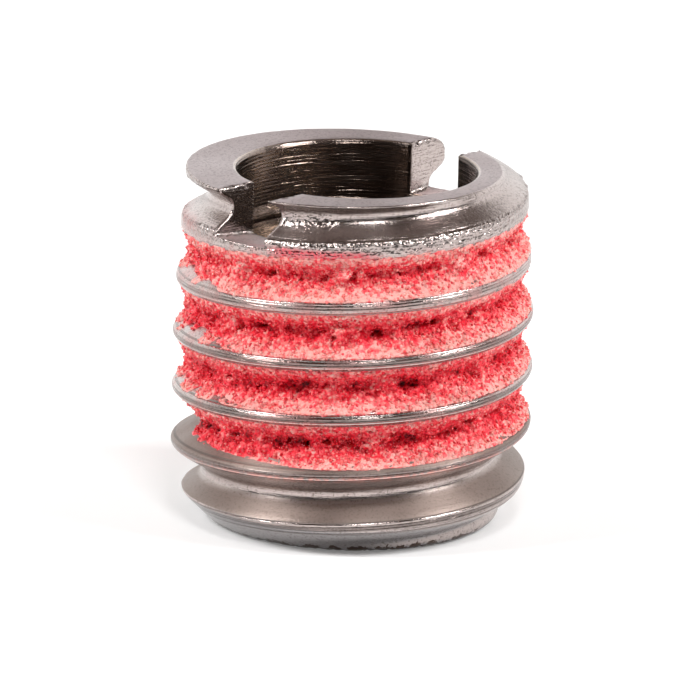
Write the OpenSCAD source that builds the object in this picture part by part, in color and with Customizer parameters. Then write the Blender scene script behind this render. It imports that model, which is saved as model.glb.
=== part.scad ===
// Threaded insert: a slotted steel sleeve with a coarse outside thread and a smaller
// tapped hole through it, with dried locking compound in its thread grooves.
// Millimetres, +Z up. The origin is on the axis, in the lower end face. The drive slot
// lies along X.

/* [Outside thread] */
// Diameter over the full thread crests
major_d = 12.45; // [11.6:0.05:14]
// Pitch of the outside thread
pitch = 1.954; // [1.6:0.001:2.2]
// Width of the flat on a full crest
crest_flat = 0.3; // [0.15:0.01:0.5]
// Width of the flat at the bottom of the groove
root_flat = 0.38; // [0.2:0.01:0.6]
// Angle between the two flanks of the groove
flank_angle = 60; // [50:1:70]
// Height of the lowest full groove above the lower face, on the +X side
groove_h = 2.82; // [2:0.01:3.8]

/* [Sleeve body] */
// Overall length
length = 12.3; // [9:0.1:18]
// 45 degree chamfer at the lower end
point_chamfer = 1; // [0.3:0.05:1.2]
// Length of the lead taper above the chamfer
lead_len = 1.5; // [0.5:0.05:3]
// Radius lost over the lead taper
lead_drop = 0.3; // [0.05:0.01:0.5]
// Length of the taper at the slotted end
taper_len = 5.15; // [1:0.05:6]
// Radius lost over the taper at the slotted end
taper_drop = 0.35; // [0.05:0.01:0.5]
// Chamfer on the outer edge of the slotted face
edge_break = 0.2; // [0.05:0.01:0.3]

/* [Tapped hole] */
// Wall between the smooth counterbore and the bottom of the outside thread's groove
wall = 0.992; // [0.7:0.002:1.6]
// Width of the ledge between the counterbore and the crests of the inside thread
ledge = 0.83; // [0.4:0.01:1]
// Depth of the counterbore wall
counterbore_depth = 2.13; // [0.5:0.01:4]
// Point angle of the tool that leaves the counterbore's floor
floor_angle = 118; // [90:1:160]
// Depth of the 90 degree countersink in the lower face
mouth_depth = 0.8; // [0.3:0.05:1]

/* [Drive slot] */
// Width of the slot
slot_w = 2.2; // [1:0.05:3]
// Depth of the slot at the axis
slot_depth = 2; // [0.8:0.05:3]
// Diameter of the disc cutter that leaves the slot's hollow floor
cutter_d = 90; // [50:1:160]

/* [Locking compound] */
// Height above the lower face where the compound starts
bare_low = 3.58; // [2.6:0.02:6]
// Depth below the slotted face where the compound ends
bare_top = 1.77; // [1.4:0.01:4]
// Length along the groove over which each end thins out
thin_len = 1.5; // [0.8:0.1:4]
// Mean thickness of the compound over the bottom of the groove
fill_depth = 0.45; // [0.2:0.01:0.7]
// Thickness of the compound halfway up each flank
skin = 0.2; // [0.1:0.01:0.35]
// Bare edge left below each crest
crest_margin = 0.05; // [0.02:0.01:0.2]
// Height of the lumps on the compound's two flanks
lump = 0.07; // [0:0.01:0.12]
// Length of one lump along the groove
lump_len = 1.8; // [0.8:0.1:4]
// Bond line between compound and steel
bond_line = 0.02; // [0.01:0.01:0.05]

/* [Hidden] */

// Steps for each turn of the thread, and facets round the turned shapes and the cutter
turn_steps = 72;
round_steps = 144;
cutter_steps = 360;
step = 360 / turn_steps;

crest_r = major_d / 2;
flank_slope = tan(flank_angle / 2);
root_r = crest_r - (pitch - crest_flat - root_flat) / (2 * flank_slope);

lead_r = crest_r - lead_drop;
point_r = lead_r - point_chamfer;
lead_top = point_chamfer + lead_len;
top_r = crest_r - taper_drop;

counterbore_r = root_r - wall;
bore_r = counterbore_r - ledge;
floor_drop = ledge / tan(floor_angle / 2);

// A cut runs past a face by this much, and a groove past the crests by this share of
// what would make neighbouring turns meet
overrun = 0.5;
rise_share = 1 / 3;
groove_rise = rise_share * crest_flat / 2 / flank_slope;

// Half the width of the groove at a radius
function groove_half(r) = root_flat / 2 + (r - root_r) * flank_slope;

// Radius of the turned bar at a height, between its two tapers and on them
function blank_r(z) =
    min(
        crest_r,
        lead_r + lead_drop * (z - point_chamfer) / lead_len,
        crest_r - taper_drop * (z - length + taper_len) / taper_len
    );

// Height of the groove's centre at an angle counted on through the turns
function groove_z(turn_angle) = groove_h + pitch * turn_angle / 360;

// The step whose groove centre is nearest to a height
function step_at(z) = round((z - groove_h) / pitch * turn_steps);

// Half the width of the compound at a radius, a bond line clear of each flank
function bonded_half(r) = groove_half(r) - bond_line / cos(flank_angle / 2);

// First and last step of the compound, the length of a step along the groove, and the
// share of its thickness that is left at the ends
fill_first = step_at(bare_low);
fill_last = step_at(length - bare_top);
step_len = 2 * PI * root_r / turn_steps;
end_film = 0.25;

// The compound's face rises and falls in two waves along the groove, one slower than the
// other by this ratio. Its middle and its two flanks each start at an angle of their own.
wave_ratio = 0.45;
low_shift = 290;
centre_shift = 270;
high_shift = 40;

// Share of its thickness that the compound loses in the hollows along the middle, and
// gains in the fillings between them
hollow_share = 0.55;

// A point of a groove section, given as [offset along the axis, radius], at a step
function on_thread(p, i) =
    [p[1] * cos(i * step), p[1] * sin(i * step), groove_z(i * step) + p[0]];

// A solid swept along the thread, from one closed section for each step. A section runs
// from its lower outer corner to the axis side and back, its side faces are all split
// along the same diagonal, and cap lists the triangles that close each end.
module thread_sweep(sections, cap, first) {
    rings = len(sections);
    sides = len(sections[0]);
    points = [for (k = [0 : rings - 1]) for (p = sections[k]) on_thread(p, first + k)];
    walls = [
        for (k = [0 : rings - 2]) for (j = [0 : sides - 1])
            let (
                a = k * sides + j,
                b = k * sides + (j + 1) % sides,
                c = b + sides,
                d = a + sides
            )
            each [[a, c, b], [a, d, c]]
    ];
    last = (rings - 1) * sides;
    end_face = [for (t = cap) [last + t[0], last + t[2], last + t[1]]];
    polyhedron(points = points, faces = concat(walls, cap, end_face));
}

// The bar as turned, before threading
module turned_blank() {
    rotate_extrude($fn = round_steps)
        polygon([
            [0, 0],
            [point_r, 0],
            [lead_r, point_chamfer],
            [crest_r, lead_top],
            [crest_r, length - taper_len],
            [blank_r(length - edge_break), length - edge_break],
            [top_r - edge_break, length],
            [0, length]
        ]);
}

// The V groove that the threading tool takes out of the blank
module thread_groove() {
    outer_r = crest_r + groove_rise;
    half = groove_half(outer_r);
    section = [
        [-half, outer_r],
        [-root_flat / 2, root_r],
        [root_flat / 2, root_r],
        [half, outer_r]
    ];
    first = step_at(-half - overrun);
    last = step_at(length + half + overrun);
    thread_sweep([for (i = [first : last]) section], [[0, 1, 2], [0, 2, 3]], first);
}

// The hole, from its countersink up through the tapped length to the counterbore
module hole() {
    rotate_extrude($fn = round_steps)
        polygon([
            [0, -overrun],
            [bore_r + mouth_depth + overrun, -overrun],
            [bore_r, mouth_depth],
            [bore_r, length - counterbore_depth - floor_drop],
            [counterbore_r, length - counterbore_depth],
            [counterbore_r, length + overrun],
            [0, length + overrun]
        ]);
}

// The slot, as a disc cutter sunk into the slotted face leaves it
module drive_slot() {
    translate([0, 0, length - slot_depth + cutter_d / 2])
        rotate([90, 0, 0])
            cylinder(d = cutter_d, h = slot_w, center = true, $fn = cutter_steps);
}

module threaded_sleeve() {
    color("#9b9490")
        difference() {
            turned_blank();
            thread_groove();
            hole();
            drive_slot();
        }
}

// Height of the waves at a step, from -1 to 1, on the line that starts at this angle
function wave(i, shift) =
    let (run = 360 * i * step_len / lump_len)
    (sin(run + shift) + sin(run * wave_ratio - shift)) / 2;

// How full the groove is at a step, from a thin film at each end up to 1
function fullness(i) =
    let (from_end = min(i - fill_first, fill_last - i) * step_len)
    max(end_film, sin(90 * min(1, from_end / thin_len)));

// Section of the compound at a step, seated in the groove on its bond line. Its edges
// stop short of the crests, which follow the bar's tapers.
function compound_section(i) =
    let (
        z = groove_z(i * step),
        full = fullness(i),
        base_r = root_r + bond_line,
        low_r = base_r + (blank_r(z - pitch / 2) - crest_margin - base_r) * full,
        high_r = base_r + (blank_r(z + pitch / 2) - crest_margin - base_r) * full,
        low_mid_r = (low_r + base_r) / 2,
        high_mid_r = (high_r + base_r) / 2,
        thick = full * skin / cos(flank_angle / 2)
    )
    [
        [-bonded_half(low_r), low_r],
        [-bonded_half(base_r), base_r],
        [bonded_half(base_r), base_r],
        [bonded_half(high_r), high_r],
        [bonded_half(high_mid_r) - thick, high_mid_r + full * lump * wave(i, high_shift)],
        [0, base_r + full * fill_depth * (1 + hollow_share * wave(i, centre_shift))],
        [-bonded_half(low_mid_r) + thick, low_mid_r + full * lump * wave(i, low_shift)]
    ];

module locking_compound() {
    color("#e8474c")
        difference() {
            thread_sweep(
                [for (i = [fill_first : fill_last]) compound_section(i)],
                [[0, 1, 6], [1, 5, 6], [1, 2, 5], [2, 4, 5], [2, 3, 4]],
                fill_first
            );
            drive_slot();
        }
}

threaded_sleeve();
locking_compound();
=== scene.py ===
import bpy
import math
from mathutils import Matrix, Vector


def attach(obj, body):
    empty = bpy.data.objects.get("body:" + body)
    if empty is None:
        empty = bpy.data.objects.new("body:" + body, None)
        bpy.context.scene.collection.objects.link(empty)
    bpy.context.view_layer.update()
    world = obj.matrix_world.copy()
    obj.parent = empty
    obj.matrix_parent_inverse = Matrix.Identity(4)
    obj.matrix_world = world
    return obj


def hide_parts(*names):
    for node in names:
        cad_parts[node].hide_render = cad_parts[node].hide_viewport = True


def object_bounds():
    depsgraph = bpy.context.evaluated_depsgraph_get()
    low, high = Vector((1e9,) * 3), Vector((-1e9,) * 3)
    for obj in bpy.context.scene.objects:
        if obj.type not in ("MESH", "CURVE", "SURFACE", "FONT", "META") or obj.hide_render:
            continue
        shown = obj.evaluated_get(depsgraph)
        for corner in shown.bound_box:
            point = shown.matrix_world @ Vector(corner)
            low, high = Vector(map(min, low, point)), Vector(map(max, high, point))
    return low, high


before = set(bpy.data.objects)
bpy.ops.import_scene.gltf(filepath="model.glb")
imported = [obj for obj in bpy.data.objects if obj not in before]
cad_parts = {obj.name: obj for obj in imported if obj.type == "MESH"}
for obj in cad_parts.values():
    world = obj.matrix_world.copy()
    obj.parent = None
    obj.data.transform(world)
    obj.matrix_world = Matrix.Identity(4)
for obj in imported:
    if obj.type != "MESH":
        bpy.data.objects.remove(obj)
cad_box = [list(corner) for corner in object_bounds()]

# Camera.
# A long lens set back from the part, a little above it and turned to the open end of
# the drive slot, as in the photograph.
MM = 0.001
view_elevation = math.radians(15.27)
view_turn = math.radians(-47.963)
view_roll = math.radians(1.392)
view_distance = 299.5 * MM
aim_right = 0.049 * MM
aim_up = 5.603 * MM
sensor_width = 36
focal_length = 443.88

camera = bpy.data.objects.new("camera", bpy.data.cameras.new("camera"))
bpy.context.collection.objects.link(camera)
bpy.context.scene.camera = camera
camera.data.sensor_width = sensor_width
camera.data.lens = focal_length
camera.data.clip_start = 10 * MM
camera.data.clip_end = 10
view = (
    Matrix.Rotation(view_turn, 4, "Z")
    @ Matrix.Rotation(math.pi / 2 - view_elevation, 4, "X")
    @ Matrix.Rotation(view_roll, 4, "Z")
)
camera.matrix_world = view @ Matrix.Translation((aim_right, aim_up, view_distance))

# Threaded sleeve.
# The insert itself: a steel bar, turned, threaded outside and inside, and slotted
# across one end with a disc cutter. Its edges are worn round and carry small burrs.
crest_r = round(cad_box[1][0] / MM, 3)
length = round(cad_box[1][2] / MM, 3)
pitch = 1.954
root_r = 5.12
crest_flat = 0.3
root_flat = 0.38
flank_slope = math.tan(math.radians(30))
groove_h = 2.82
point_chamfer = 1.0
lead_len = 1.5
lead_drop = 0.3
taper_len = 5.15
taper_drop = 0.35
bore_r = 3.3
bore_major_r = 3.969
bore_pitch = 1.411
bore_groove_h = 0.9
bore_flat = 0.2
mouth_depth = 0.8
counterbore_r = 4.13
counterbore_floor = length - 2.13
floor_slope = math.tan(math.radians(118 / 2))
slot_half = 2.2 / 2
slot_bottom = length - 2.0
cutter_r = 90.0 / 2

# Rounding at the bottom of the outside groove, at the point's corner and in the hole
root_round = 0.08
point_round = 0.1
bore_round = 0.08

# Height above which the crests are torn, how near to the crest's corner, and the tears
torn_above = 9.0
torn_reach = 0.1
tear_low = -0.02
tear_high = 0.06

# Radius at which the outside and the inside skin meet, on the slotted and the lower face
face_join_r = 4.62
foot_join_r = 4.5

# Columns round the axis, how far a row moves to reach a corner, and what welds the skins
around = 288
outer_snap = 0.03
inner_snap = 0.055
weld = 0.003

MATH = "ShaderNodeMath"
VECTOR = "ShaderNodeVectorMath"
RANGE = "ShaderNodeMapRange"
NOISE = "ShaderNodeTexNoise"
CELLS = "ShaderNodeTexVoronoi"
SPLIT = "ShaderNodeSeparateXYZ"
POINT = "ShaderNodeCombineXYZ"
CLAMP = "ShaderNodeClamp"
MOVE = "GeometryNodeSetPosition"


def add(tree, kind, *values, **settings):
    """Adds a node, sets it, fills its enabled inputs in order and returns its first output."""
    node = tree.nodes.new(kind)
    for key, value in settings.items():
        setattr(node, key, value)
    sockets = [socket for socket in node.inputs if socket.enabled]
    for socket, value in zip(sockets, values):
        if isinstance(value, bpy.types.NodeSocket):
            tree.links.new(value, socket)
        elif value is not None:
            socket.default_value = value
    return next(socket for socket in node.outputs if socket.enabled)


def combined(tree, operation, first, *others):
    """Takes values through one maths operation after another, such as a product of shares."""
    result = first
    for other in others:
        result = add(tree, MATH, result, other, operation=operation)
    return result


def new_tree(name, sizes):
    """Makes a geometry tree with one named input for each size, and returns both."""
    tree = bpy.data.node_groups.new(name, "GeometryNodeTree")
    tree.interface.new_socket("Geometry", in_out="OUTPUT", socket_type="NodeSocketGeometry")
    tree.interface.new_socket("Geometry", in_out="INPUT", socket_type="NodeSocketGeometry")
    for size in sizes:
        tree.interface.new_socket(size, in_out="INPUT", socket_type="NodeSocketFloat")
    entry = tree.nodes.new("NodeGroupInput")
    return tree, {socket.name: socket for socket in entry.outputs}


def grow(name, tree, sizes, geometry, material, start=None):
    """Ends the tree, runs it on a mesh and returns its result as a plain piece."""
    geometry = add(tree, "GeometryNodeRealizeInstances", geometry)
    geometry = add(tree, "GeometryNodeSetShadeSmooth", geometry)
    geometry = add(tree, "GeometryNodeSetMaterial", geometry, None, material)
    tree.links.new(geometry, tree.nodes.new("NodeGroupOutput").inputs[0])
    grown = bpy.data.objects.new(name, start or bpy.data.meshes.new(name))
    bpy.context.collection.objects.link(grown)
    modifier = grown.modifiers.new("grow", "NODES")
    modifier.node_group = tree
    for item in tree.interface.items_tree:
        if item.in_out == "INPUT" and item.name in sizes:
            modifier[item.identifier] = float(sizes[item.name])
    depsgraph = bpy.context.evaluated_depsgraph_get()
    plain = bpy.data.meshes.new_from_object(grown.evaluated_get(depsgraph))
    grown.modifiers.clear()
    grown.data = plain
    plain.name = name
    return grown


def linear(hex_colour):
    """An sRGB hex colour as linear RGBA."""
    parts = [int(hex_colour[i:i + 2], 16) / 255 for i in (0, 2, 4)]
    return [p / 12.92 if p < 0.04045 else ((p + 0.055) / 1.055) ** 2.4 for p in parts] + [1]


def grid(tree, turns, rows, crowd):
    """A skin's grid: turn counts once round the axis, row counts pitches along it. The rows
    crowd together halfway between whole pitches, where the outside thread has its crests."""
    mesh = add(tree, "GeometryNodeMeshGrid", 1.0, float(turns), around + 1, turns * rows + 1)
    place = add(tree, SPLIT, add(tree, "GeometryNodeInputPosition")).node
    turn = add(tree, MATH, place.outputs["X"], 0.5, operation="ADD")
    row = add(tree, MATH, place.outputs["Y"], turns / 2, operation="ADD")
    angle = add(tree, MATH, row, math.tau, operation="MULTIPLY")
    wave = add(tree, MATH, angle, operation="SINE")
    row = add(tree, MATH, wave, crowd / math.tau, row, operation="MULTIPLY_ADD")
    return mesh, turn, row


def snapped(tree, height, corner, reach):
    """Moves a row that passes close to a corner onto it, so that the edge stays even."""
    near = add(tree, MATH, height, corner, reach, operation="COMPARE")
    step = add(tree, MATH, corner, height, operation="SUBTRACT")
    return add(tree, MATH, near, step, height, operation="MULTIPLY_ADD")


def groove_distance(tree, height, turn, start, step):
    """Distance along the axis from the nearest centre of a thread groove."""
    phase = add(tree, MATH, height, start, operation="SUBTRACT")
    phase = add(tree, MATH, phase, step, operation="DIVIDE")
    phase = add(tree, MATH, phase, turn, operation="SUBTRACT")
    phase = add(tree, MATH, phase, 0.5, operation="PINGPONG")
    return add(tree, MATH, phase, step, operation="MULTIPLY")


def flank_radius(tree, apart, root):
    """Radius of the outside groove's flank at a distance from its centre."""
    flank = add(tree, MATH, apart, root_flat / 2, operation="SUBTRACT")
    flank = add(tree, MATH, flank, 1 / flank_slope, root, operation="MULTIPLY_ADD")
    return add(tree, MATH, flank, root, root_round, operation="SMOOTH_MAX")


def bar_radius(tree, height, crest):
    """Radius of the turned bar at a height: point chamfer, lead taper, body and top taper."""
    lead_r = crest_r - lead_drop
    point = add(tree, MATH, height, lead_r - point_chamfer, operation="ADD")
    lead = add(tree, MATH, height, point_chamfer, operation="SUBTRACT")
    lead = add(tree, MATH, lead, lead_drop / lead_len, lead_r, operation="MULTIPLY_ADD")
    top = add(tree, MATH, height, length - taper_len, operation="SUBTRACT")
    top = add(tree, MATH, top, -taper_drop / taper_len, crest, operation="MULTIPLY_ADD")
    bar = combined(tree, "MINIMUM", lead, crest, top)
    return add(tree, MATH, bar, point, point_round, operation="SMOOTH_MIN")


def round_axis(tree, turn):
    """Cosine and sine of an angle that is given in turns."""
    angle = add(tree, MATH, turn, math.tau, operation="MULTIPLY")
    return [add(tree, MATH, angle, operation=name) for name in ("COSINE", "SINE")]


def placed(tree, mesh, turn, radius, height):
    """Wraps the grid round the axis at a radius and a height."""
    x, y = [combined(tree, "MULTIPLY", part, radius) for part in round_axis(tree, turn)]
    return add(tree, MOVE, mesh, None, add(tree, POINT, x, y, height))


def end_faces(tree, height, level):
    """How far a row runs on over an end face, and the radius where the two skins meet."""
    past = add(tree, MATH, height, level, operation="SUBTRACT")
    past = add(tree, MATH, past, operation="ABSOLUTE")
    is_face = add(tree, MATH, level, length / 2, operation="GREATER_THAN")
    join = add(tree, MATH, is_face, face_join_r - foot_join_r, foot_join_r, operation="MULTIPLY_ADD")
    return past, join


def slot_bed(tree, x, start):
    """Height of the hollow that the disc cutter leaves, above its lowest line at start."""
    reach = add(tree, MATH, x, x, operation="MULTIPLY")
    return add(tree, MATH, reach, 1 / (2 * cutter_r), start, operation="MULTIPLY_ADD")


sleeve_sizes = {
    "Pitch": pitch,
    "Groove height": groove_h,
    "Crest radius": crest_r,
    "Root radius": root_r,
    "Length": length,
    "Bore radius": bore_r,
    "Bore pitch": bore_pitch,
    "Edge rounding": 0.38,
    "Slot half width": slot_half,
    "Slot bottom": slot_bottom,
}
tree, size = new_tree("threaded sleeve", sleeve_sizes)

# Outside skin, from a circle on the lower face to one on the slotted face. A row follows
# the thread, so it starts three pitches below the lowest full groove.
mesh, turn, row = grid(tree, 9, 24, 0.5)
climb = add(tree, MATH, row, turn, operation="ADD")
height = add(tree, MATH, climb, size["Pitch"], groove_h - 3 * pitch, operation="MULTIPLY_ADD")
for edge_height in (0.0, size["Length"]):
    height = snapped(tree, height, edge_height, outer_snap)
level = add(tree, CLAMP, height, 0.0, size["Length"])
apart = groove_distance(tree, level, turn, size["Groove height"], size["Pitch"])
flank = flank_radius(tree, apart, size["Root radius"])
bar = bar_radius(tree, level, size["Crest radius"])
side = add(tree, MATH, bar, flank, size["Edge rounding"], operation="SMOOTH_MIN")

# Its upper crests are torn along their corners. The tears' noise is read on a circle, so
# that it meets itself at the seam.
corner = add(tree, MATH, bar, flank, torn_reach, operation="COMPARE")
upper = add(tree, MATH, level, torn_above, operation="GREATER_THAN")
torn = add(tree, NOISE, add(tree, POINT, *round_axis(tree, turn), level), 40.0, 2.0, 0.6)
torn = add(tree, RANGE, torn, 0.45, 0.7, tear_low, tear_high)
torn = combined(tree, "MULTIPLY", torn, corner, upper)
side = add(tree, MATH, side, torn, operation="ADD")
past, join = end_faces(tree, height, level)
side = add(tree, MATH, side, past, operation="SUBTRACT")
side = add(tree, MATH, side, join, operation="MAXIMUM")
outside = placed(tree, mesh, turn, side, level)

# Inside skin, from the same circles through the countersink, the thread and the
# counterbore
mesh, turn, row = grid(tree, 12, 12, 0.0)
climb = add(tree, MATH, row, turn, operation="ADD")
height = add(tree, MATH, climb, size["Bore pitch"], -2 * bore_pitch, operation="MULTIPLY_ADD")
for edge_height in (0.0, size["Length"], counterbore_floor):
    height = snapped(tree, height, edge_height, inner_snap)
level = add(tree, CLAMP, height, 0.0, size["Length"])
apart = groove_distance(tree, level, turn, bore_groove_h, size["Bore pitch"])
thread = add(tree, MATH, apart, bore_flat / 2, operation="SUBTRACT")
thread = add(tree, MATH, thread, 0.0, operation="MAXIMUM")
thread = add(tree, MATH, thread, -1 / flank_slope, bore_major_r, operation="MULTIPLY_ADD")
mouth = add(tree, MATH, bore_r + mouth_depth, level, operation="SUBTRACT")
floor = add(tree, MATH, level, counterbore_floor, operation="SUBTRACT")
floor = add(tree, MATH, floor, floor_slope, counterbore_r, operation="MULTIPLY_ADD")
floor = add(tree, MATH, floor, counterbore_r, operation="MINIMUM")
side = combined(tree, "MAXIMUM", size["Bore radius"], mouth, floor)
side = add(tree, MATH, side, thread, bore_round, operation="SMOOTH_MAX")
past, join = end_faces(tree, height, level)
side = add(tree, MATH, side, past, operation="ADD")
side = add(tree, MATH, side, join, operation="MINIMUM")
inside = add(tree, "GeometryNodeFlipFaces", placed(tree, mesh, turn, side, level))

skins = tree.nodes.new("GeometryNodeJoinGeometry")
tree.links.new(outside, skins.inputs[0])
tree.links.new(inside, skins.inputs[0])
body = add(tree, "GeometryNodeMergeByDistance", skins.outputs[0], None, weld)

# The disc cutter's sweep: a block in small cells, bent along its hollow bottom
cutter_cell = 0.1
cutter_size = (14.0, 2 * slot_half, 2.6)
cutter_grid = [round(side_length / cutter_cell) + 1 for side_length in cutter_size]
cutter = add(tree, "GeometryNodeMeshCube", cutter_size, *cutter_grid)
slot_x = add(tree, SPLIT, add(tree, "GeometryNodeInputPosition")).node.outputs["X"]
bent = slot_bed(tree, slot_x, slot_bottom + cutter_size[2] / 2)
cutter = add(tree, MOVE, cutter, None, None, add(tree, POINT, 0.0, 0.0, bent))
body = add(tree, "GeometryNodeMeshBoolean", body, cutter, operation="DIFFERENCE", solver="MANIFOLD")

# Worn edges: every place this near to an edge of the faces or the slot is smoothed
worn_top = 0.13
worn_foot = 0.09
worn_wall = 0.14
worn_bed = 0.12
spot = add(tree, "GeometryNodeInputPosition")
place = add(tree, SPLIT, spot).node
wide = add(tree, MATH, place.outputs["Y"], operation="ABSOLUTE")
top_near = add(tree, MATH, place.outputs["Z"], size["Length"], worn_top, operation="COMPARE")
foot_near = add(tree, MATH, place.outputs["Z"], 0.0, worn_foot, operation="COMPARE")
wall_near = add(tree, MATH, wide, size["Slot half width"], worn_wall, operation="COMPARE")
high = add(tree, MATH, place.outputs["Z"], slot_bottom - 0.1, operation="GREATER_THAN")
wall_near = add(tree, MATH, wall_near, high, operation="MULTIPLY")
in_slot = add(tree, MATH, wide, slot_half + 0.1, operation="LESS_THAN")
bed = slot_bed(tree, place.outputs["X"], slot_bottom)
bed_near = add(tree, MATH, place.outputs["Z"], bed, worn_bed, operation="COMPARE")
bed_near = add(tree, MATH, bed_near, in_slot, operation="MULTIPLY")
worn = combined(tree, "MAXIMUM", top_near, foot_near, wall_near, bed_near)
eased = add(tree, "GeometryNodeBlurAttribute", spot, 3, worn, data_type="FLOAT_VECTOR")
body = add(tree, MOVE, body, None, eased)

# Nicks, pressed into the slot's edges and the lower face's outer edge
nick_depth = 0.09
foot_edge_r = 4.7
nicks = add(tree, NOISE, spot, 5.5, 2.0, 0.6)
nicks = add(tree, RANGE, nicks, 0.5, 0.68, 0.0, nick_depth)
from_axis = add(tree, POINT, place.outputs["X"], place.outputs["Y"], 0.0)
from_axis = add(tree, VECTOR, from_axis, operation="LENGTH").node.outputs["Value"]
outer_foot = add(tree, MATH, from_axis, foot_edge_r, operation="GREATER_THAN")
outer_foot = add(tree, MATH, outer_foot, foot_near, operation="MULTIPLY")
slot_edge = add(tree, MATH, top_near, bed_near, operation="MAXIMUM")
slot_edge = add(tree, MATH, slot_edge, wall_near, operation="MULTIPLY")
nicked = add(tree, MATH, slot_edge, outer_foot, operation="MAXIMUM")
nicks = combined(tree, "MULTIPLY", nicks, nicked, -1.0)
nicks = add(tree, VECTOR, add(tree, "GeometryNodeInputNormal"), nicks, operation="SCALE")
body = add(tree, MOVE, body, None, None, nicks)
body = add(tree, "GeometryNodeTransform", body, None, None, (MM, MM, MM))

# Free-cutting steel, machined: bright flanks with fine turning lines, a matt faced end and a
# darker hole, with painted shade on some flanks and edges. Compound has rubbed off on it above and
# below.
steel = bpy.data.materials.new("machined steel")
steel.use_nodes = True
nodes = steel.node_tree
shader = nodes.nodes["Principled BSDF"]
shader.inputs["Metallic"].default_value = 1.0
shader.inputs["Anisotropic"].default_value = 0.7
shader.inputs["Anisotropic Rotation"].default_value = 0.25
turning = add(nodes, "ShaderNodeTangent", direction_type="RADIAL", axis="Z")
nodes.links.new(turning, shader.inputs["Tangent"])

# Where a spot lies, in millimetres, and which way its face looks
object_place = add(nodes, "ShaderNodeTexCoord").node.outputs["Object"]
place = add(nodes, SPLIT, object_place).node
flat_place = add(nodes, POINT, place.outputs["X"], place.outputs["Y"], 0.0)
axis_mm = add(nodes, VECTOR, flat_place, operation="LENGTH").node.outputs["Value"]
axis_mm = add(nodes, MATH, axis_mm, MM, operation="DIVIDE")
height_mm = add(nodes, MATH, place.outputs["Z"], MM, operation="DIVIDE")
round_angle = add(nodes, MATH, place.outputs["Y"], place.outputs["X"], operation="ARCTAN2")
turn = add(nodes, MATH, round_angle, math.tau, operation="DIVIDE")
apart = groove_distance(nodes, height_mm, turn, groove_h, pitch)
normal = add(nodes, "ShaderNodeNewGeometry").node.outputs["Normal"]
facing = add(nodes, SPLIT, normal).node
upward = facing.outputs["Z"]
outwards = add(nodes, VECTOR, flat_place, operation="NORMALIZE")
turned = add(nodes, VECTOR, normal, outwards, operation="DOT_PRODUCT").node.outputs["Value"]
turned = add(nodes, RANGE, turned, 0.3, 0.6)

# Parts of the surface: the faced end, the hole, the outside, and the crests, which are
# lined more clearly on the lower turns
faced = add(nodes, RANGE, upward, 0.93, 0.98)
in_hole = add(nodes, RANGE, axis_mm, counterbore_r + 0.12, counterbore_r)
outer = add(nodes, RANGE, axis_mm, 5.0, 5.3)
by_crest = add(nodes, RANGE, apart, 0.62, 0.7)
on_crest = add(nodes, RANGE, apart, 0.68, 0.76)
lower_crests = add(nodes, RANGE, height_mm, 10.0, 8.0, 0.25, 1.0)
on_crest = combined(nodes, "MULTIPLY", on_crest, turned, lower_crests)

# Patterns: lines that the tool leaves round the axis, 16 in a millimetre, a grain of 11 in
# a millimetre, and soft clouds and smears
lines_place = add(
    nodes, POINT,
    add(nodes, MATH, axis_mm, 16.0, operation="MULTIPLY"),
    add(nodes, MATH, height_mm, 16.0, operation="MULTIPLY"),
    add(nodes, MATH, round_angle, 2.0, operation="MULTIPLY"),
)
lines = add(nodes, NOISE, lines_place, 1.0, 2.0, 0.6)
grain = add(nodes, NOISE, object_place, 11 / MM, 3.0, 0.65)
cloud = add(nodes, NOISE, object_place, 0.5 / MM, 3.0, 0.55)

# A pink haze of compound, smeared over the outside between the lowest groove and the face
smear = add(nodes, NOISE, object_place, 0.9 / MM, 4.0, 0.6)
smear = add(nodes, RANGE, smear, 0.42, 0.75, 0.0, 0.5)
reached = add(nodes, RANGE, height_mm, 2.6, 3.8)
cleared = add(nodes, RANGE, height_mm, 11.0, 10.7)
haze = combined(nodes, "MULTIPLY", smear, reached, cleared, outer)

# Speckled residue under the low crests
speckle = add(nodes, NOISE, object_place, 5.0 / MM, 3.0, 0.7)
speckle = add(nodes, RANGE, speckle, 0.42, 0.52, 0.0, 0.9)
downward = add(nodes, RANGE, upward, 0.05, -0.25)
low_turn = add(nodes, RANGE, height_mm, 4.9, 4.4)
above_foot = add(nodes, RANGE, height_mm, 2.4, 2.8)
residue = combined(nodes, "MULTIPLY", speckle, downward, low_turn, above_foot, by_crest, turned)

# A patch rubbed red on the topmost crest
patch_side = (-0.857, -0.516, 0.0)
red_patch = add(nodes, VECTOR, outwards, patch_side, operation="DOT_PRODUCT").node.outputs["Value"]
red_patch = combined(
    nodes, "MULTIPLY",
    add(nodes, RANGE, red_patch, 0.94, 0.975),
    add(nodes, RANGE, height_mm, 10.35, 10.55),
    add(nodes, RANGE, height_mm, 10.9, 10.75),
    add(nodes, RANGE, grain, 0.35, 0.6, 0.3, 1.0),
    turned,
)

# Painted shade: darker brown on the low flanks that look up, thin on the topmost one.
# Separately, the hole is almost black on one side.
low_flank_shade = add(nodes, RANGE, height_mm, 4.4, 4.0, 0.0, 0.7)
top_flank_shade = add(nodes, RANGE, height_mm, 10.9, 11.1, 0.0, 0.12)
flank_shade_and_dull = add(nodes, MATH, low_flank_shade, top_flank_shade, operation="MAXIMUM")
on_flank = add(nodes, RANGE, upward, 0.2, 0.45)
off_face = add(nodes, MATH, outer, faced, operation="SUBTRACT", use_clamp=True)
flank_shade_and_dull = combined(nodes, "MULTIPLY", flank_shade_and_dull, on_flank, off_face)
# Almost black on one side of the hole
darker_side = (0.67, -0.743, 0.0)
dark_hole_side = add(nodes, VECTOR, outwards, darker_side, operation="DOT_PRODUCT").node.outputs["Value"]
dark_hole_side = add(nodes, RANGE, dark_hole_side, -0.2, 0.25, 0.0, 0.75)
dark_hole_side = add(nodes, MATH, dark_hole_side, in_hole, operation="MULTIPLY")
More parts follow.
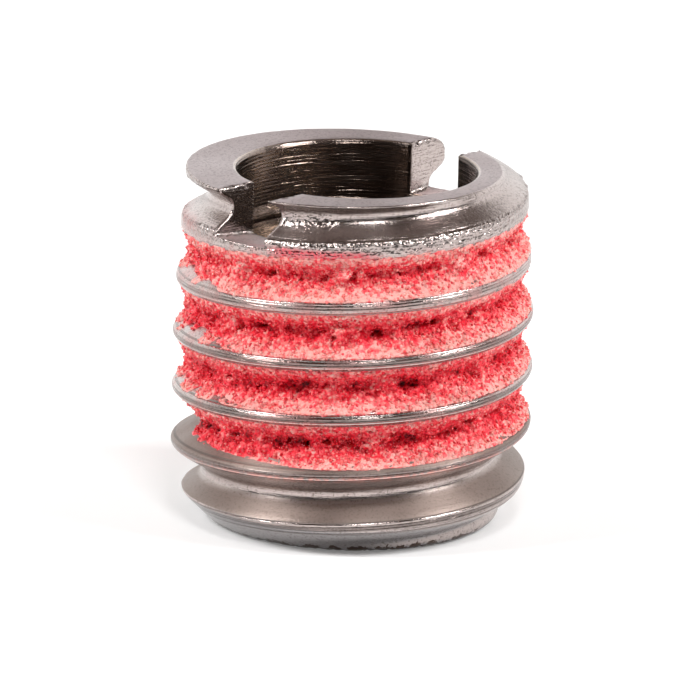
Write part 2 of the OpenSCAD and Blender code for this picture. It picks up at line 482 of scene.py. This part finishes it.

# Flecks in the grain; painted shade under the point, under the slotted face's rim and in
# dark lines along the crests; a paler ledge in the hole; and a darker ragged band at the foot
flecks = add(nodes, RANGE, grain, 0.47, 0.36, 0.0, 0.55)
# Painted shade: darker on the underside of the point, near the table
point_shade = combined(
    nodes, "MULTIPLY",
    add(nodes, RANGE, height_mm, 1.1, 0.9),
    add(nodes, RANGE, upward, -0.3, -0.6),
)
# Painted shade: darker under the slotted face's rim, on the faces that look down
rim_shade = combined(
    nodes, "MULTIPLY",
    add(nodes, RANGE, upward, -0.1, -0.4, 0.0, 0.6),
    add(nodes, RANGE, height_mm, 11.7, 11.9),
)
# Painted shade along the lower crests: a dark band down each crest's middle and a dark line at its edge
crest_middle = add(nodes, RANGE, apart, 0.87, 0.92, 0.0, 0.6)
crest_edge = add(nodes, MATH, apart, 0.76, 0.03, operation="COMPARE")
crest_edge = add(nodes, MATH, crest_edge, 0.6, operation="MULTIPLY")
crest_shade_lines = add(nodes, MATH, crest_middle, crest_edge, operation="MAXIMUM")
crest_shade_lines = add(nodes, MATH, crest_shade_lines, on_crest, operation="MULTIPLY")
ledge = add(nodes, RANGE, upward, 0.7, 0.82, 0.0, 0.9)
ledge = add(nodes, MATH, ledge, in_hole, operation="MULTIPLY")
# Darker in a ragged band at the very foot
dark_foot = add(nodes, NOISE, object_place, 3.2 / MM, 3.0, 0.65)
dark_foot_top = add(nodes, RANGE, dark_foot, 0.35, 0.7, 0.08, 0.34)
dark_foot = add(nodes, MATH, height_mm, dark_foot_top, operation="LESS_THAN")

# Clean steel, and what covers it, one layer over the other; some layers are painted shade
MIX = "ShaderNodeMix"
colour = add(nodes, MIX, cloud, linear("B0A4A0"), linear("C6BAB6"), data_type="RGBA")
layers = (
    (point_shade, "A09B9B"),
    (faced, "AFA1A1"),
    (in_hole, "8A7B72"),
    (haze, "D8807E"),
    (residue, "E2A8A0"),
    (flecks, "5E524C"),
    # painted shade on the flanks that look up
    (flank_shade_and_dull, "8A7A70"),
    (rim_shade, "4E4038"),
    (crest_shade_lines, "544944"),
    (red_patch, "D04C58"),
    (dark_hole_side, "2E2622"),
    (ledge, "CDBBA8"),
    (dark_foot, "54463F"),
)
for share, hex_colour in layers:
    colour = add(nodes, MIX, share, colour, linear(hex_colour), data_type="RGBA")
nodes.links.new(colour, shader.inputs["Base Color"])

# Polish: the faced end, the haze and the low flanks that look up are duller than the clean steel
rough = add(nodes, RANGE, cloud, 0.3, 0.7, 0.13, 0.24)
for share, more in ((faced, 0.22), (haze, 0.3), (flank_shade_and_dull, 0.5)):
    rough = add(nodes, MATH, share, more, rough, operation="MULTIPLY_ADD")
nodes.links.new(rough, shader.inputs["Roughness"])

# Turning lines on the crests, 0.1 mm apart, and in the hole, 0.13 mm apart. The real ones
# are about half as far apart, too fine to show.
ripple = add(nodes, MATH, apart, math.tau / 0.1, operation="MULTIPLY")
ripple = add(nodes, MATH, ripple, operation="SINE")
ripple = add(nodes, MATH, ripple, on_crest, operation="MULTIPLY")
tool_marks = add(nodes, MATH, height_mm, math.tau / 0.13, operation="MULTIPLY")
tool_marks = add(nodes, MATH, tool_marks, operation="SINE")
tool_marks = add(nodes, MATH, tool_marks, in_hole, operation="MULTIPLY")
scores = add(nodes, MATH, lines, in_hole, operation="MULTIPLY")
frosted = add(nodes, MATH, grain, faced, operation="MULTIPLY")

# Milling lines along the slot's two walls
on_wall = add(nodes, MATH, facing.outputs["Y"], operation="ABSOLUTE")
on_wall = add(nodes, MATH, on_wall, 0.93, operation="GREATER_THAN")
beside = add(nodes, MATH, place.outputs["Y"], operation="ABSOLUTE")
beside = add(nodes, MATH, beside, (slot_half + 0.1) * MM, operation="LESS_THAN")
milled_place = add(
    nodes, POINT,
    add(nodes, MATH, place.outputs["X"], 0.8 / MM, operation="MULTIPLY"),
    0.0,
    add(nodes, MATH, height_mm, 11.0, operation="MULTIPLY"),
)
milled = add(nodes, NOISE, milled_place, 1.0, 2.0, 0.6)
milled = combined(nodes, "MULTIPLY", milled, on_wall, beside)

# Burrs on the topmost crest, and a rough patch on the slotted face's rim
upper_crest = add(nodes, RANGE, height_mm, 10.2, 10.6)
upper_crest = combined(nodes, "MULTIPLY", upper_crest, turned, by_crest)
rough_side = (-0.921, -0.392, 0.0)
rough_patch = add(nodes, VECTOR, outwards, rough_side, operation="DOT_PRODUCT").node.outputs["Value"]
rough_patch = combined(
    nodes, "MULTIPLY",
    add(nodes, RANGE, rough_patch, 0.975, 0.993),
    add(nodes, RANGE, height_mm, 11.3, 11.55),
    add(nodes, RANGE, height_mm, 12.0, 11.85),
)
burred = add(nodes, MATH, upper_crest, rough_patch, operation="MAXIMUM")
burrs = add(nodes, NOISE, object_place, 6.0 / MM, 1.0, 0.5)
burrs = add(nodes, MATH, burrs, burred, operation="MULTIPLY")

# Each relief with its strength and its height in millimetres
reliefs = (
    (lines, 0.7, 0.016),
    (grain, 0.7, 0.014),
    (ripple, 0.8, 0.012),
    (tool_marks, 0.8, 0.006),
    (scores, 0.8, 0.017),
    (milled, 0.8, 0.03),
    (burrs, 1.0, 0.09),
    (frosted, 0.8, 0.02),
)
bump = None
for relief, strength, relief_mm in reliefs:
    bump = add(nodes, "ShaderNodeBump", strength, relief_mm * MM, 0.1, relief, bump)
nodes.links.new(bump, shader.inputs["Normal"])

sleeve = grow("insert_sleeve", tree, sleeve_sizes, body, steel)
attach(sleeve, "root")
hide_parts("threaded_sleeve")

# Locking compound.
# A paste of fine plastic beads, wiped into the grooves between the upper crests and
# dried there: a sugary crust, thin on the flanks and deep red in its hollows.
compound_first = 140 / 360
compound_last = 1420 / 360
band_turns = compound_last - compound_first
band_length = band_turns * math.tau * root_r
hollow_ratio = 0.45
hollow_start = math.radians(270)
bare_side = math.radians(132)

# The band is a grid: rows over its face, rows back under it, and steps along it. Its
# underside is sunk into the steel, its two edges dip there within a row and a half, and
# where it is bare its face lies just under the steel's.
top_rows = 34
under_rows = 9
rows = top_rows + under_rows
steps_along = 1700
sunk = 0.09
edge_rows = 1.5
bare_face = -0.04
end_sink = 0.06

compound_sizes = {
    "Pitch": pitch,
    "Groove height": groove_h,
    "Crest radius": crest_r,
    "Root radius": root_r,
    "Fill depth": 0.46,
    "Hollow length": 1.8,
    "Hollow share": 0.55,
    "Pit depth": 0.34,
    "Lump height": 0.13,
    "Crumb height": 0.16,
    "Grain height": 0.06,
    "Thin end": 1.6,
}
tree, size = new_tree("locking compound", compound_sizes)
mesh = add(tree, "GeometryNodeMeshGrid", 1.0, float(rows), steps_along + 1, rows + 1)
place = add(tree, SPLIT, add(tree, "GeometryNodeInputPosition")).node
band_share = add(tree, MATH, place.outputs["X"], 0.5, operation="ADD")
row = add(tree, MATH, place.outputs["Y"], rows / 2, operation="ADD")
over = add(tree, MATH, row, top_rows, operation="MINIMUM")
over = add(tree, MATH, over, 1 / top_rows, operation="MULTIPLY")
under = add(tree, MATH, row, top_rows, operation="SUBTRACT")
under = add(tree, MATH, under, 0.0, operation="MAXIMUM")
under = add(tree, MATH, under, 1 / under_rows, operation="MULTIPLY")
across = add(tree, MATH, over, under, operation="SUBTRACT")
turn = add(tree, MATH, band_share, band_turns, compound_first, operation="MULTIPLY_ADD")
along = add(tree, MATH, turn, math.tau * root_r, operation="MULTIPLY")

# Distance from the nearer end, and how full and how wide the band is there
from_end = add(tree, MATH, band_share, 0.5, operation="PINGPONG")
from_end = add(tree, MATH, from_end, band_length, operation="MULTIPLY")
full = add(tree, MATH, from_end, size["Thin end"], operation="DIVIDE")
full = add(tree, CLAMP, full, 0.0, 1.0)
closing = add(tree, MATH, from_end, 3.0, operation="MULTIPLY")
closing = add(tree, CLAMP, closing, 0.0, 1.0)

# The steel under the compound
offset = add(tree, MATH, across, 0.5, operation="SUBTRACT")
offset = combined(tree, "MULTIPLY", offset, pitch - crest_flat, closing)
height = add(tree, MATH, turn, size["Pitch"], size["Groove height"], operation="MULTIPLY_ADD")
height = add(tree, MATH, height, offset, operation="ADD")
apart = add(tree, MATH, offset, operation="ABSOLUTE")
flank = flank_radius(tree, apart, size["Root radius"])
bar = bar_radius(tree, height, size["Crest radius"])
steel_r = add(tree, MATH, bar, flank, 0.12, operation="SMOOTH_MIN")

# The compound's face is hollow from crest to crest
reach = add(tree, MATH, bar, size["Root radius"], operation="SUBTRACT")
reach = add(tree, MATH, reach, flank_slope, root_flat / 2, operation="MULTIPLY_ADD")
ratio = add(tree, MATH, apart, reach, operation="DIVIDE")
ratio = add(tree, CLAMP, ratio, 0.0, 1.0)
bowl = add(tree, MATH, ratio, 1.35, operation="POWER")
centre = add(tree, MATH, size["Root radius"], size["Fill depth"], operation="ADD")
rise = add(tree, MATH, bar, 0.01, operation="ADD")
rise = add(tree, MATH, rise, centre, operation="SUBTRACT")
face = add(tree, MATH, bowl, rise, centre, operation="MULTIPLY_ADD")
thick = add(tree, MATH, face, steel_r, operation="SUBTRACT")

# Two waves along the groove leave hollows and fillings in its middle, streaks break them
# up, and pits sink into it
wave_run = add(tree, MATH, along, size["Hollow length"], operation="DIVIDE")
quick = add(tree, MATH, wave_run, math.tau, hollow_start, operation="MULTIPLY_ADD")
quick = add(tree, MATH, quick, operation="SINE")
slow = add(tree, MATH, wave_run, math.tau * hollow_ratio, -hollow_start, operation="MULTIPLY_ADD")
slow = add(tree, MATH, slow, operation="SINE")
waves = add(tree, MATH, quick, slow, operation="ADD")
waves = combined(tree, "MULTIPLY", waves, size["Hollow share"], size["Fill depth"], 0.5)
face_place = add(tree, POINT, along, offset, 0.0)
streaks = add(tree, NOISE, face_place, 1.7, 3.0, 0.6)
streaks = add(tree, MATH, streaks, 0.5, operation="SUBTRACT")
pits = add(tree, NOISE, face_place, 1.5, 2.0, 0.5)
pits = add(tree, RANGE, pits, 0.59, 0.63, 0.0, size["Pit depth"])
waves = add(tree, MATH, streaks, waves, operation="ADD")
waves = add(tree, MATH, waves, pits, operation="SUBTRACT")
middle = add(tree, RANGE, ratio, 0.0, 0.45, 1.0, 0.0)
thick = add(tree, MATH, waves, middle, thick, operation="MULTIPLY_ADD")

# Steel shows on the lower flank, near the band's start and in patches on one side, and in
# a gap below each crest
from_side = add(tree, MATH, turn, math.tau, -bare_side, operation="MULTIPLY_ADD")
from_side = add(tree, MATH, from_side, operation="COSINE")
from_side = add(tree, RANGE, from_side, 0.7, 0.9)
bare_patch = add(tree, NOISE, face_place, 1.1, 2.0, 0.5)
bare_patch = add(tree, RANGE, bare_patch, 0.42, 0.58, 0.0, 0.4)
bare_patch = add(tree, MATH, bare_patch, from_side, operation="MULTIPLY")
bare_start = add(tree, MATH, band_share, band_length, operation="MULTIPLY")
bare_start = add(tree, RANGE, bare_start, 2.0, 8.0, 0.22, 0.0)
lower_flank = add(tree, RANGE, offset, -0.15, -0.6)
bare = add(tree, MATH, bare_start, bare_patch, operation="MAXIMUM")
bare = add(tree, MATH, bare, lower_flank, operation="MULTIPLY")
crest_gap = add(tree, RANGE, offset, 0.58, 0.76, 0.0, 0.13)
thick = combined(tree, "SUBTRACT", thick, bare, crest_gap)

# Towards its ends the whole band sinks into the steel
thick = add(tree, MATH, thick, end_sink, operation="ADD")
thick = add(tree, MATH, thick, full, operation="MULTIPLY")
thick = add(tree, MATH, thick, end_sink, operation="SUBTRACT")
thick = add(tree, MATH, thick, bare_face, operation="MAXIMUM")
edge = add(tree, MATH, across, 0.5, operation="PINGPONG")
edge = combined(tree, "MULTIPLY", edge, top_rows / edge_rows, closing)
edge = add(tree, CLAMP, edge, 0.0, 1.0)
is_top = add(tree, MATH, under, 0.0001, operation="LESS_THAN")
edge = add(tree, MATH, edge, is_top, operation="MULTIPLY")
lift = add(tree, MATH, thick, sunk, operation="ADD")
buried = add(tree, MATH, steel_r, sunk, operation="SUBTRACT")
radius = add(tree, MATH, lift, edge, buried, operation="MULTIPLY_ADD")
depth = add(tree, MATH, bar, radius, operation="SUBTRACT")
STORE = "GeometryNodeStoreNamedAttribute"
mesh = add(tree, STORE, mesh, None, "depth", depth, data_type="FLOAT")
mesh = add(tree, STORE, mesh, None, "cover", thick, data_type="FLOAT")
mesh = placed(tree, mesh, turn, radius, height)
mesh = add(tree, "GeometryNodeMergeByDistance", mesh, None, 0.002)

# Lumps, crumbs and grains stand up from the face where there is compound to raise
cover = add(tree, "GeometryNodeInputNamedAttribute", "cover", data_type="FLOAT")
raised = add(tree, RANGE, cover, 0.0, 0.12)
spot = add(tree, "GeometryNodeInputPosition")
lumps = add(tree, NOISE, spot, 2.6, 2.0, 0.6)
lumps = add(tree, MATH, lumps, 0.5, operation="SUBTRACT")
lumps = combined(tree, "MULTIPLY", lumps, size["Lump height"], 1.8)
grains = add(tree, CELLS, spot, 8.0)
grains = add(tree, MATH, 0.45, grains, operation="SUBTRACT")
grains = add(tree, MATH, grains, size["Grain height"], operation="MULTIPLY")
crumbs = add(tree, CELLS, spot, 3.4)
crumbs = add(tree, MATH, 0.42, crumbs, operation="SUBTRACT")
crumbs = add(tree, MATH, crumbs, size["Crumb height"], operation="MULTIPLY")
swell = combined(tree, "ADD", lumps, grains, crumbs)
swell = add(tree, MATH, swell, raised, operation="MULTIPLY")
push = add(tree, VECTOR, add(tree, "GeometryNodeInputNormal"), swell, operation="SCALE")
mesh = add(tree, MOVE, mesh, None, None, push)
mesh = add(tree, "GeometryNodeTransform", mesh, None, None, (MM, MM, MM))


def compound_colours(name, colours, finish):
    """A compound material from pale to deep red, and the socket that takes its tone."""
    material = bpy.data.materials.new(name)
    material.use_nodes = True
    nodes = material.node_tree
    shader = nodes.nodes["Principled BSDF"]
    ramp = nodes.nodes.new("ShaderNodeValToRGB")
    stops = ramp.color_ramp.elements
    while len(stops) < len(colours):
        stops.new(1.0)
    for stop, (tone, colour) in zip(stops, colours):
        stop.position = tone
        stop.color = linear(colour)
    nodes.links.new(ramp.outputs[0], shader.inputs["Base Color"])
    for socket, value in finish.items():
        shader.inputs[socket].default_value = value
    return material, ramp.inputs[0]


# Dried resin, filled with grains of 0.12 mm: pale where it stands up, deep red in its hollows
# and between the grains, with a little light under its skin, and painted light where it looks up
dried, dried_tone = compound_colours(
    "dried resin compound",
    (
        (0.0, "FBB0A8"),
        (0.12, "FB8A87"),
        (0.32, "F8505A"),
        (0.55, "EC1630"),
        (0.82, "B40016"),
        (1.0, "4A000A"),
    ),
    {
        "Roughness": 0.35,
        "Specular IOR Level": 0.25,
        "Subsurface Weight": 0.25,
        "Subsurface Radius": (1.0, 0.25, 0.2),
        "Subsurface Scale": 0.1 * MM,
    },
)
nodes = dried.node_tree
depth = add(nodes, "ShaderNodeAttribute", attribute_name="depth").node.outputs["Fac"]
object_place = add(nodes, "ShaderNodeTexCoord").node.outputs["Object"]
mottle = add(nodes, NOISE, object_place, 2.6 / MM, 4.0, 0.65)
mottle = add(nodes, MATH, mottle, 0.5, operation="SUBTRACT")
grain_cell = add(nodes, CELLS, object_place, 8.5 / MM).node
chance = add(nodes, SPLIT, grain_cell.outputs["Color"])
between = grain_cell.outputs["Distance"]
upward = add(nodes, "ShaderNodeNewGeometry").node.outputs["Normal"]
upward = add(nodes, SPLIT, upward).node.outputs["Z"]
tone = depth
# The last cause is painted light: the tone turns paler where the face looks up
for cause, weight in ((mottle, 1.35), (chance, -0.46), (between, 0.3), (upward, -0.2)):
    tone = add(nodes, MATH, cause, weight, tone, operation="MULTIPLY_ADD")
nodes.links.new(tone, dried_tone)
dome = add(nodes, MATH, 1.0, between, operation="SUBTRACT")
bump = add(nodes, "ShaderNodeBump", 1.0, 0.06 * MM, 0.1, dome)
nodes.links.new(bump, nodes.nodes["Principled BSDF"].inputs["Normal"])

crust = grow("compound_crust", tree, compound_sizes, mesh, dried)
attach(crust, "root")
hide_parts("locking_compound")

# Loose beads.
# The compound's fine plastic beads, stuck to its face wherever that is more than a film.
# Each is a ball of ten faces, 0.06 to 0.17 mm across, and none lies deep in the grooves.
bead_spread = (0.5, 1.45)
deepest_bead = 0.9
place_seed = 5
spread_seed = 3
tone_seed = 8
bead_sizes = {
    "Beads per area": 41 / MM ** 2,
    "Bead radius": 0.058 * MM,
    "Least cover": 0.03,
}
tree, size = new_tree("compound beads", bead_sizes)
cover = add(tree, "GeometryNodeInputNamedAttribute", "cover", data_type="FLOAT")
covered = add(tree, MATH, cover, size["Least cover"], operation="GREATER_THAN")
depth = add(tree, "GeometryNodeInputNamedAttribute", "depth", data_type="FLOAT")
shown = add(tree, MATH, depth, deepest_bead, operation="LESS_THAN")
shown = add(tree, MATH, shown, covered, operation="MULTIPLY")
density = size["Beads per area"]
scatter = add(
    tree, "GeometryNodeDistributePointsOnFaces", size["Geometry"], shown, density, place_seed
).node
bead = add(tree, "GeometryNodeMeshUVSphere", 5, 2, size["Bead radius"])
spread = add(tree, "FunctionNodeRandomValue", *bead_spread, None, spread_seed, data_type="FLOAT")
beads = add(
    tree, "GeometryNodeInstanceOnPoints", scatter.outputs["Points"], None, bead, None, None,
    scatter.outputs["Rotation"], spread,
)
chance = add(tree, "FunctionNodeRandomValue", 0.0, 1.0, None, tone_seed, data_type="FLOAT")
beads = add(tree, STORE, beads, None, "tone", chance, data_type="FLOAT", domain="INSTANCE")

# Glossy plastic, each bead paler or redder by chance, and redder in the hollows
beaded, beaded_tone = compound_colours(
    "plastic beads",
    ((0.0, "FFC4BA"), (0.3, "F78E88"), (0.55, "EC4C56"), (0.78, "D01226"), (1.0, "900414")),
    {
        "Roughness": 0.18,
        "Specular IOR Level": 0.45,
        "Subsurface Weight": 0.5,
        "Subsurface Radius": (1.0, 0.3, 0.25),
        "Subsurface Scale": 0.06 * MM,
    },
)
nodes = beaded.node_tree
depth = add(nodes, "ShaderNodeAttribute", attribute_name="depth").node.outputs["Fac"]
chance = add(nodes, "ShaderNodeAttribute", attribute_name="tone").node.outputs["Fac"]
tone = add(nodes, MATH, depth, 0.75, operation="MULTIPLY")
tone = add(nodes, MATH, chance, 0.42, tone, operation="MULTIPLY_ADD")
nodes.links.new(tone, beaded_tone)

loose = grow("compound_beads", tree, bead_sizes, beads, beaded, start=crust.data.copy())
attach(loose, "root")

# Studio.
# A white table before a white backdrop, in a dim room that is darkest behind the camera,
# with a soft light high on each side and one over the camera.
table_half = 3.0
corners = ((-1, -1), (1, -1), (1, 1), (-1, 1))
table_mesh = bpy.data.meshes.new("table")
table_mesh.from_pydata([(x * table_half, y * table_half, 0) for x, y in corners], [], [(0, 1, 2, 3)])
table = bpy.data.objects.new("table", table_mesh)
bpy.context.collection.objects.link(table)

# Matt white paint. The camera, and the metal that mirrors it, see it a little brighter.
white = bpy.data.materials.new("white paint")
white.use_nodes = True
nodes = white.node_tree
shader = nodes.nodes["Principled BSDF"]
shader.inputs["Base Color"].default_value = linear("EEEEEE")
shader.inputs["Roughness"].default_value = 0.9
shader.inputs["Emission Color"].default_value = (1, 1, 1, 1)
ray = add(nodes, "ShaderNodeLightPath").node
seen = add(nodes, MATH, ray.outputs["Is Camera Ray"], ray.outputs["Is Glossy Ray"], operation="MAXIMUM")
seen = add(nodes, MATH, seen, 0.17, operation="MULTIPLY")
nodes.links.new(seen, shader.inputs["Emission Strength"])
table_mesh.materials.append(white)

# The room: white behind the part up to the top of the backdrop and dim elsewhere, except
# to the camera, which sees white all round
backdrop_side = (math.sin(-view_turn), math.cos(-view_turn), 0.0)
room = bpy.data.worlds.new("studio")
bpy.context.scene.world = room
room.use_nodes = True
nodes = room.node_tree
background = nodes.nodes["Background"]
direction = add(nodes, "ShaderNodeTexCoord").node.outputs["Generated"]
climb = add(nodes, SPLIT, direction).node.outputs["Z"]
below = add(nodes, RANGE, climb, 0.66, 0.54)
towards = add(nodes, VECTOR, direction, backdrop_side, operation="DOT_PRODUCT").node.outputs["Value"]
backdrop = add(nodes, RANGE, towards, 0.05, 0.3)
backdrop = add(nodes, MATH, backdrop, below, operation="MULTIPLY")
ray = add(nodes, "ShaderNodeLightPath").node
backdrop = add(nodes, MATH, backdrop, ray.outputs["Is Camera Ray"], operation="MAXIMUM")
darkest = add(nodes, RANGE, towards, 0.25, -0.25)
darkest = add(nodes, MATH, darkest, below, operation="MULTIPLY")
colour = add(nodes, MIX, darkest, linear("5C504A"), linear("181514"), data_type="RGBA")
colour = add(nodes, MIX, backdrop, colour, linear("FFFFFF"), data_type="RGBA")
nodes.links.new(colour, background.inputs["Color"])
background.inputs["Strength"].default_value = 1.3

# Soft lights: turn from the camera and height in degrees, distance, width and power
lights = {
    "left": (-72, 40, 0.25, 0.08, 0.46),
    "right": (72, 40, 0.25, 0.08, 0.46),
    "front": (10, 56, 0.30, 0.06, 0.24),
}
part_middle = Matrix.Translation((0, 0, length / 2 * MM))
for name, (sideways, up, away, width, power) in lights.items():
    lamp = bpy.data.lights.new(name, "AREA")
    lamp.size = width
    lamp.energy = power
    light = bpy.data.objects.new(name, lamp)
    bpy.context.collection.objects.link(light)
    aimed = (
        Matrix.Rotation(view_turn + math.radians(sideways), 4, "Z")
        @ Matrix.Rotation(math.pi / 2 - math.radians(up), 4, "X")
    )
    light.matrix_world = part_middle @ aimed @ Matrix.Translation((0, 0, away))

bpy.context.scene.view_settings.view_transform = "Standard"
